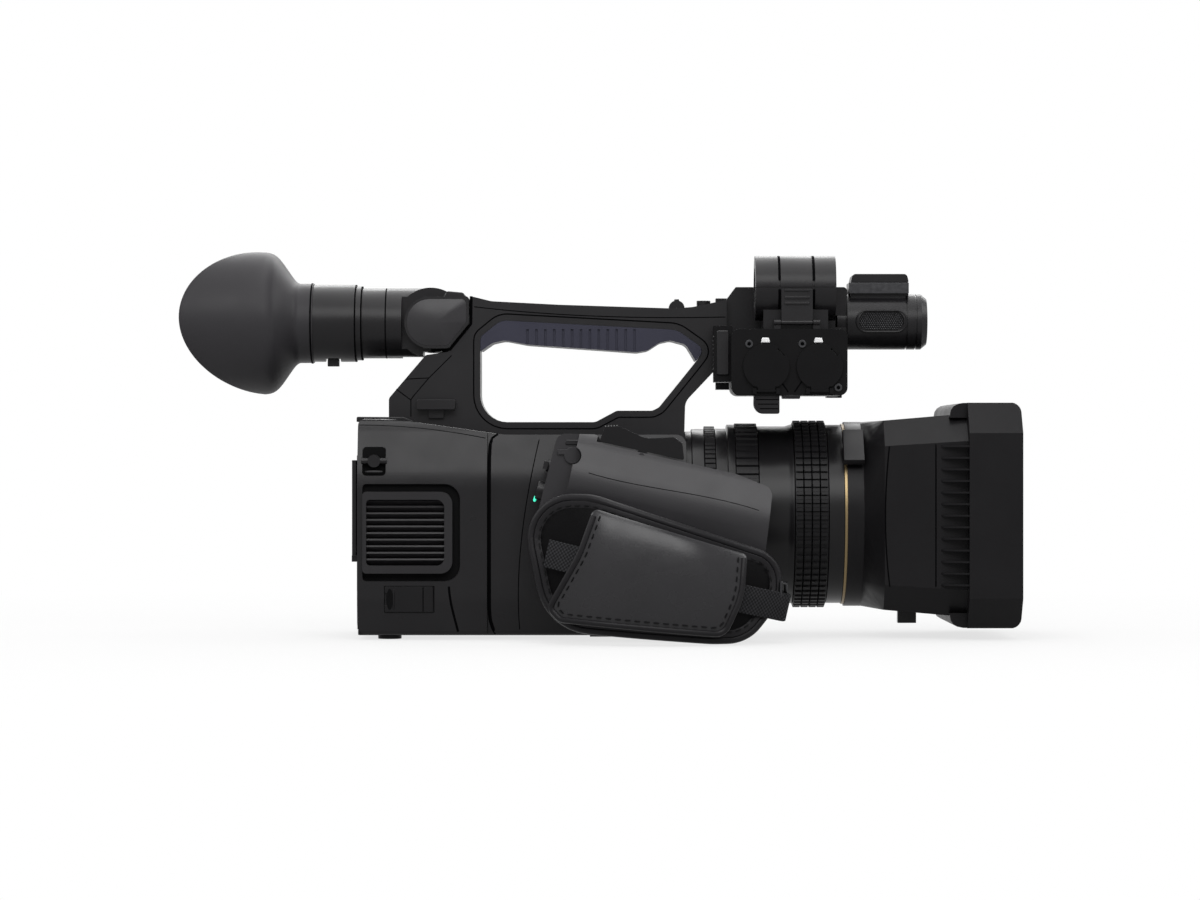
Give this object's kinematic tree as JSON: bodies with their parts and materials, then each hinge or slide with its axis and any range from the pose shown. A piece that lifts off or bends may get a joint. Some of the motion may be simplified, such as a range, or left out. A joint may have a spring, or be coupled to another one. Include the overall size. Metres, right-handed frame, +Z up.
{
  "type": "handheld camcorder",
  "caption": "Handheld camcorder with a top handle, tilting viewfinder, ringed zoom lens, wide hood with a lens shutter, hand grip with belt, microphone holder and connector box.",
  "frame": {"origin": "centre of the mouth of the tripod thread, in the plane that the feet and the tripod plate stand on", "axes": "+X forwards along the lens, -Y to the operator's right, where the hand grip is, +Z up"},
  "size_m": [0.4287, 0.1949, 0.199],
  "materials": {
    "black_plastic": "fine satin texture",
    "charcoal_plastic": "matte",
    "black_rubber": "matte",
    "steel": "dark satin",
    "leather": "satin grain",
    "webbing": "woven",
    "glass": "coated",
    "screen": "gloss",
    "gold_trim": "satin gold",
    "board": "satin"
  },
  "bodies": {
    "camcorder": {"right_rear_cover": "black_plastic", "right_mid_cover": "black_plastic", "left_cover": "black_plastic", "rear_panel": "black_plastic", "base_plate": "black_plastic", "fan_housing": "black_plastic", "handle_frame": "black_plastic", "front_block": "black_plastic", "connector_box": "black_plastic", "cable_clamp": "black_plastic", "holder_base": "black_plastic", "built_in_microphone": "black_plastic", "lens_barrel_rear": "black_plastic", "lens_barrel_mid": "black_plastic", "lens_barrel_front": "black_plastic", "hood_shell": "black_plastic", "vent_grille": "charcoal_plastic", "grip_shell": "charcoal_plastic", "connector_sockets": "charcoal_plastic", "rubber_feet": "black_rubber", "handle_grip_pad": "black_rubber", "tripod_plate": "steel", "sensor_block": "steel", "strap_lug": "steel", "panel_screws": "steel", "accessory_shoe": "steel", "belt_pad": "leather", "belt_flap": "leather", "belt_webbing": "webbing", "lens_elements": "glass", "trim_ring": "gold_trim", "main_board": "board"},
    "fan_wheel": {"fan_rotor": "charcoal_plastic"},
    "battery": {"battery_pack": "charcoal_plastic"},
    "card_door": {"card_door": "charcoal_plastic"},
    "terminal_cover": {"terminal_cover": "black_rubber"},
    "zoom_rocker": {"zoom_rocker": "charcoal_plastic"},
    "record_button": {"record_button": "charcoal_plastic"},
    "power_switch": {"power_switch": "charcoal_plastic"},
    "remote_cap": {"remote_cap": "black_rubber"},
    "handle_zoom_lever": {"handle_zoom_lever": "charcoal_plastic"},
    "handle_record_button": {"handle_record_button": "charcoal_plastic"},
    "viewfinder": {"viewfinder_housing": "black_plastic", "eyepiece_lens": "glass", "eyecup": "black_rubber"},
    "dioptre_lever": {"dioptre_lever": "charcoal_plastic"},
    "connector_cap_1": {"connector_cap_1": "charcoal_plastic"},
    "connector_cap_2": {"connector_cap_2": "charcoal_plastic"},
    "holder_cap": {"holder_cap": "black_plastic"},
    "holder_latch": {"holder_latch": "charcoal_plastic"},
    "shoe_cover": {"shoe_cover": "black_plastic"},
    "screen": {"screen_panel": "black_plastic", "screen_glass": "screen"},
    "iris_ring": {"iris_ring": "black_rubber"},
    "zoom_ring": {"zoom_ring": "black_rubber"},
    "focus_ring": {"focus_ring": "black_rubber"},
    "hood_lock": {"hood_lock": "charcoal_plastic"},
    "shutter_upper": {"shutter_upper": "black_plastic"},
    "shutter_lower": {"shutter_lower": "black_plastic"},
    "shutter_lever": {"shutter_lever": "charcoal_plastic"}
  },
  "joints": [
    {"name": "fan_spin", "type": "hinge", "parent": "camcorder", "child": "fan_wheel", "pos_m": [-0.1195, -0.045, 0.0543], "axis": [0, 1, 0], "continuous": true},
    {"name": "battery_slide", "type": "slide", "parent": "camcorder", "child": "battery", "axis": [-1, 0, 0], "range_m": [0, 0.062]},
    {"name": "card_door_hinge", "type": "hinge", "parent": "camcorder", "child": "card_door", "pos_m": [-0.1455, -0.027, 0.041], "axis": [0, -1, 0], "range_deg": [0, 100]},
    {"name": "terminal_cover_hinge", "type": "hinge", "parent": "camcorder", "child": "terminal_cover", "pos_m": [-0.106, -0.054, 0.0205], "axis": [0, 0, 1], "range_deg": [0, 100]},
    {"name": "zoom_rocker_tilt", "type": "hinge", "parent": "camcorder", "child": "zoom_rocker", "pos_m": [0, -0.071, 0.0932], "axis": [0, 1, 0], "range_deg": [-6, 6], "stiffness_Nm_per_rad": 0.3},
    {"name": "record_button_press", "type": "slide", "parent": "camcorder", "child": "record_button", "axis": [0.969, 0, -0.247], "range_m": [0, 0.001], "stiffness_N_per_m": 300},
    {"name": "power_switch_turn", "type": "hinge", "parent": "camcorder", "child": "power_switch", "pos_m": [-0.04639, -0.064, 0.0881], "axis": [-0.969, 0, 0.247], "range_deg": [-25, 25]},
    {"name": "remote_cap_pull", "type": "slide", "parent": "camcorder", "child": "remote_cap", "axis": [0, -1, 0], "range_m": [0, 0.008]},
    {"name": "handle_zoom_tilt", "type": "hinge", "parent": "camcorder", "child": "handle_zoom_lever", "pos_m": [0.019, 0, 0.1704], "axis": [0, 1, 0], "range_deg": [-12, 12], "stiffness_Nm_per_rad": 0.05},
    {"name": "handle_record_press", "type": "slide", "parent": "camcorder", "child": "handle_record_button", "axis": [0, 0, -1], "range_m": [0, 0.001], "stiffness_N_per_m": 300},
    {"name": "viewfinder_tilt", "type": "hinge", "parent": "camcorder", "child": "viewfinder", "pos_m": [-0.1083, 0, 0.162], "axis": [0, 1, 0], "range_deg": [0, 75]},
    {"name": "dioptre_turn", "type": "hinge", "parent": "viewfinder", "child": "dioptre_lever", "pos_m": [-0.1593, 0, 0.162], "axis": [1, 0, 0], "range_deg": [-12, 12]},
    {"name": "connector_cap_1_hinge", "type": "hinge", "parent": "camcorder", "child": "connector_cap_1", "pos_m": [0.0636, -0.0532, 0.126], "axis": [1, 0, 0], "range_deg": [0, 110]},
    {"name": "connector_cap_2_hinge", "type": "hinge", "parent": "camcorder", "child": "connector_cap_2", "pos_m": [0.0907, -0.0532, 0.126], "axis": [1, 0, 0], "range_deg": [0, 110]},
    {"name": "holder_cap_hinge", "type": "hinge", "parent": "camcorder", "child": "holder_cap", "pos_m": [0.079, -0.0141, 0.1812], "axis": [-1, 0, 0], "range_deg": [0, 105]},
    {"name": "holder_latch_hinge", "type": "hinge", "parent": "camcorder", "child": "holder_latch", "pos_m": [0.079, -0.0511, 0.1611], "axis": [1, 0, 0], "range_deg": [0, 100]},
    {"name": "shoe_cover_slide", "type": "slide", "parent": "camcorder", "child": "shoe_cover", "axis": [1, 0, 0], "range_m": [0, 0.032]},
    {"name": "screen_open", "type": "hinge", "parent": "camcorder", "child": "screen", "pos_m": [0.102, 0.028, 0.1535], "axis": [0, 0, -1], "range_deg": [0, 120]},
    {"name": "iris_turn", "type": "hinge", "parent": "camcorder", "child": "iris_ring", "pos_m": [0.035, 0, 0.063], "axis": [1, 0, 0], "continuous": true},
    {"name": "zoom_turn", "type": "hinge", "parent": "camcorder", "child": "zoom_ring", "pos_m": [0.054, 0, 0.063], "axis": [1, 0, 0], "range_deg": [-45, 45]},
    {"name": "focus_turn", "type": "hinge", "parent": "camcorder", "child": "focus_ring", "pos_m": [0.087, 0, 0.063], "axis": [1, 0, 0], "continuous": true},
    {"name": "hood_lock_press", "type": "slide", "parent": "camcorder", "child": "hood_lock", "axis": [0, 0.7431, -0.6691], "range_m": [0, 0.0012], "stiffness_N_per_m": 300},
    {"name": "shutter_upper_turn", "type": "hinge", "parent": "camcorder", "child": "shutter_upper", "pos_m": [0.1275, 0, 0.105], "axis": [0, 1, 0], "range_deg": [0, 85]},
    {"name": "shutter_lower_turn", "type": "hinge", "parent": "camcorder", "child": "shutter_lower", "pos_m": [0.1275, 0, 0.021], "axis": [0, -1, 0], "range_deg": [0, 85]},
    {"name": "shutter_lever_slide", "type": "slide", "parent": "camcorder", "child": "shutter_lever", "axis": [0, -1, 0], "range_m": [0, 0.012]}
  ],
  "couplings": [
    {"joint": "shutter_lower_turn", "follows": "shutter_upper_turn", "ratio": 1},
    {"joint": "shutter_lever_slide", "follows": "shutter_upper_turn", "m_per_rad": 0.00808}
  ]
}
